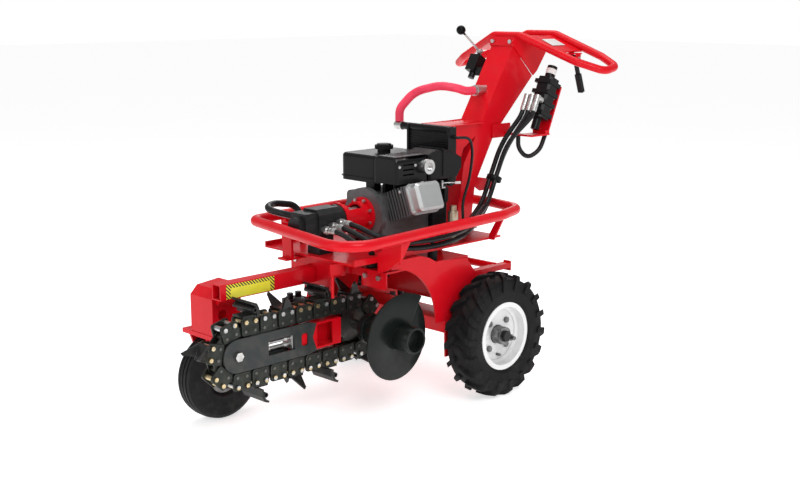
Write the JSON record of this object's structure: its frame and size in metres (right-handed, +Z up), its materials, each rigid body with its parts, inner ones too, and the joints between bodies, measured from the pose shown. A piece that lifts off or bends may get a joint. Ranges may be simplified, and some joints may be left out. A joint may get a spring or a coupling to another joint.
{
  "type": "walk-behind trencher",
  "caption": "Walk-behind hydraulic mini trencher: engine on a wheeled red frame, digging chain boom with a spoil auger, gauge wheel in front, leaning mast with a ring handlebar.",
  "frame": {"origin": "ground plane under the middle of the whole machine's box", "axes": "+X towards the handlebar, +Y away from the auger side, +Z up"},
  "size_m": [1.6832, 0.72, 1.213],
  "materials": {
    "red_paint": "gloss powder coat",
    "tyre_rubber": "moulded rubber",
    "white_rim": "gloss enamel",
    "hub_steel": "machined",
    "zinc": "zinc plate",
    "chain_steel": "oiled dark steel",
    "boom_grey": "satin",
    "gloss_black": "gloss",
    "black_plastic": "satin moulded",
    "cast_dark": "painted casting",
    "bare_aluminium": "cast, satin",
    "filter_brass": "plated",
    "hose_black": "smooth",
    "hose_red": "smooth",
    "rubber_black": "satin",
    "sign_yellow": "printed vinyl"
  },
  "bodies": {
    "frame": {"lower_chassis": "red_paint", "wheel_motors": "cast_dark", "isolators": "rubber_black", "engine_deck": "red_paint", "guard_rail": "red_paint", "front_bracket": "red_paint", "label_beam": "red_paint", "front_wheel_bracket": "red_paint", "front_axle": "zinc", "mast": "red_paint", "handlebar": "red_paint", "engine_block": "cast_dark", "valve_cover": "bare_aluminium", "fuel_tank": "gloss_black", "muffler_cover": "gloss_black", "exhaust_outlet": "zinc", "air_cleaner": "black_plastic", "recoil_cover": "black_plastic", "oil_filter": "filter_brass", "pump_adapter": "red_paint", "hydraulic_pump": "cast_dark", "oil_cooler": "gloss_black", "suction_hose": "hose_red", "hydraulic_hoses": "hose_black", "control_valves": "cast_dark", "valve_bracket": "red_paint", "hose_fittings": "zinc", "fasteners": "zinc"},
    "rear_wheel_near": {"rear_tyre_near": "tyre_rubber", "rear_rim_near": "white_rim", "rear_hub_near": "hub_steel"},
    "rear_wheel_far": {"rear_tyre_far": "tyre_rubber", "rear_rim_far": "white_rim", "rear_hub_far": "hub_steel"},
    "front_wheel": {"front_tyre": "tyre_rubber", "front_rim": "white_rim"},
    "boom": {"boom_bar": "red_paint", "nose_plates": "boom_grey", "boom_tensioner": "zinc", "wear_strips": "zinc", "boom_pivot_tube": "red_paint", "dig_motor": "cast_dark", "chain_bars": "chain_steel", "chain_pins": "chain_steel", "chain_bolts": "zinc", "cutters": "chain_steel"},
    "digging_head": {"head_shaft": "hub_steel", "drive_sprocket": "hub_steel", "auger": "gloss_black"},
    "idler": {"nose_idler": "hub_steel"},
    "lift_barrel": {"lift_cylinder": "gloss_black"},
    "lift_ram": {"lift_rod": "hub_steel"},
    "fuel_cap": {"fuel_cap": "black_plastic"},
    "crank": {"crankshaft": "hub_steel"},
    "starter": {"starter_grip": "black_plastic"},
    "throttle": {"throttle_lever": "black_plastic"},
    "choke": {"choke_lever": "black_plastic"},
    "switch": {"engine_switch": "black_plastic"},
    "drive_control": {"drive_lever": "black_plastic"},
    "boom_control": {"boom_lever": "black_plastic"}
  },
  "joints": [
    {"name": "rear_wheel_near_spin", "type": "hinge", "parent": "frame", "child": "rear_wheel_near", "pos_m": [0.22208, -0.302, 0.207], "axis": [0, 1, 0], "continuous": true},
    {"name": "rear_wheel_far_spin", "type": "hinge", "parent": "frame", "child": "rear_wheel_far", "pos_m": [0.22208, 0.302, 0.207], "axis": [0, 1, 0], "continuous": true},
    {"name": "front_wheel_spin", "type": "hinge", "parent": "frame", "child": "front_wheel", "pos_m": [-0.57392, 0.166, 0.14], "axis": [0, 1, 0], "continuous": true},
    {"name": "boom_swing", "type": "hinge", "parent": "frame", "child": "boom", "pos_m": [-0.20192, -0.06, 0.276], "axis": [0, -1, 0], "range_deg": [0, 60]},
    {"name": "digging_head_spin", "type": "hinge", "parent": "boom", "child": "digging_head", "pos_m": [-0.20192, -0.06, 0.276], "axis": [0, 1, 0], "continuous": true},
    {"name": "idler_spin", "type": "hinge", "parent": "boom", "child": "idler", "pos_m": [-0.69087, -0.06, 0.276], "axis": [0, 1, 0], "continuous": true},
    {"name": "lift_tilt", "type": "hinge", "parent": "frame", "child": "lift_barrel", "pos_m": [0.12708, 0.072, 0.398], "axis": [0, -1, 0], "range_deg": [0, 8]},
    {"name": "lift_stroke", "type": "slide", "parent": "lift_barrel", "child": "lift_ram", "axis": [-0.9978, 0, -0.0667], "range_m": [0, 0.096]},
    {"name": "fuel_cap_turn", "type": "hinge", "parent": "frame", "child": "fuel_cap", "pos_m": [0.02608, 0.03, 0.806], "axis": [0, 0, 1], "range_deg": [0, 90]},
    {"name": "crank_spin", "type": "hinge", "parent": "frame", "child": "crank", "pos_m": [-0.09892, 0, 0.615], "axis": [1, 0, 0], "continuous": true},
    {"name": "starter_pull", "type": "slide", "parent": "frame", "child": "starter", "axis": [0, -1, 0], "range_m": [0, 0.45], "stiffness_N_per_m": 20},
    {"name": "throttle_turn", "type": "hinge", "parent": "frame", "child": "throttle", "pos_m": [0.15208, -0.118, 0.706], "axis": [0, 0, 1], "range_deg": [0, 40]},
    {"name": "choke_turn", "type": "hinge", "parent": "frame", "child": "choke", "pos_m": [0.07808, -0.118, 0.713], "axis": [0, 0, 1], "range_deg": [0, 35]},
    {"name": "switch_turn", "type": "hinge", "parent": "frame", "child": "switch", "pos_m": [0.14408, -0.098, 0.655], "axis": [0, -1, 0], "range_deg": [0, 45]},
    {"name": "drive_lever_rock", "type": "hinge", "parent": "frame", "child": "drive_control", "pos_m": [0.77008, -0.186, 1.1], "axis": [0, 1, 0], "range_deg": [-22, 22], "stiffness_Nm_per_rad": 1.6},
    {"name": "boom_lever_rock", "type": "hinge", "parent": "frame", "child": "boom_control", "pos_m": [0.59408, 0.112, 1.118], "axis": [0, 1, 0], "range_deg": [-18, 18], "stiffness_Nm_per_rad": 2.5}
  ],
  "couplings": [
    {"joint": "lift_tilt", "follows": "boom_swing", "ratio": 0.10005},
    {"joint": "lift_stroke", "follows": "boom_swing", "m_per_rad": 0.087909}
  ]
}
